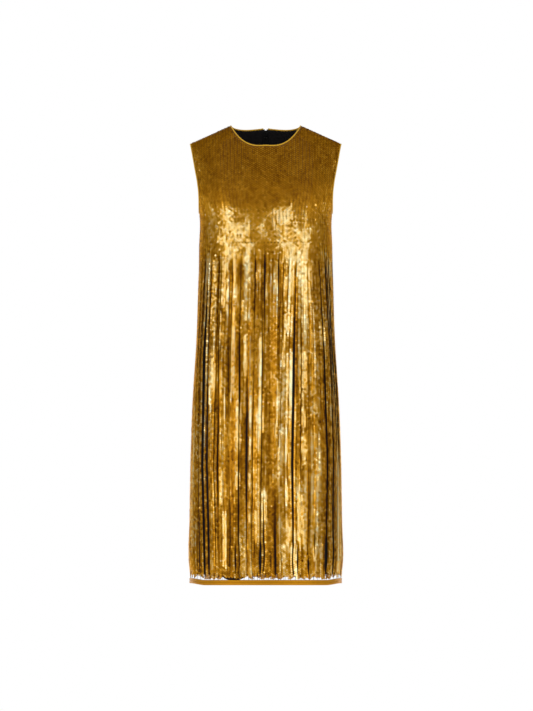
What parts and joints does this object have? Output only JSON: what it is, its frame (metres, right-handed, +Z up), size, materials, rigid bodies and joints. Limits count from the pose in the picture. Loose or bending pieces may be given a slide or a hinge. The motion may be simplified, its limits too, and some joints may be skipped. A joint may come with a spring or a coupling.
{
  "type": "sequin fringe mini dress",
  "caption": "Sleeveless A-line mini dress, gold sequin yoke with long loose sequin strands over a black slip, satin hem band and neck and armhole piping.",
  "frame": {"origin": "between the shoulders, midway front to back, at the height where the neck edge meets the shoulder seam", "axes": "+Z up from hem to shoulders, -Y out of the front, +X to the wearer's left"},
  "size_m": [0.332, 0.2494, 1.0012],
  "materials": {
    "gold_sequins": "mirror-bright metallic gold sequins",
    "gold_satin": "satin",
    "black_slip_fabric": "matt",
    "black_zip": "satin",
    "dark_metal": "satin"
  },
  "bodies": {
    "dress": {"yoke_front": "gold_sequins", "yoke_back_left": "gold_sequins", "yoke_back_right": "gold_sequins", "slip_front": "black_slip_fabric", "slip_back_left": "black_slip_fabric", "slip_back_right": "black_slip_fabric", "fringe_front": "gold_sequins", "fringe_back_left": "gold_sequins", "fringe_back_right": "gold_sequins", "neck_piping": "gold_satin", "armhole_piping_left": "gold_satin", "armhole_piping_right": "gold_satin", "hem_band": "gold_satin", "zip_chain": "black_zip", "zip_slider": "dark_metal", "neck_hook": "dark_metal"},
    "pull_tab": {"zip_pull_tab": "dark_metal"}
  },
  "joints": [
    {"name": "pull_tab_swing", "type": "hinge", "parent": "dress", "child": "pull_tab", "pos_m": [0, 0.0737, -0.0199], "axis": [1, 0, 0], "range_deg": [0, 150]}
  ]
}
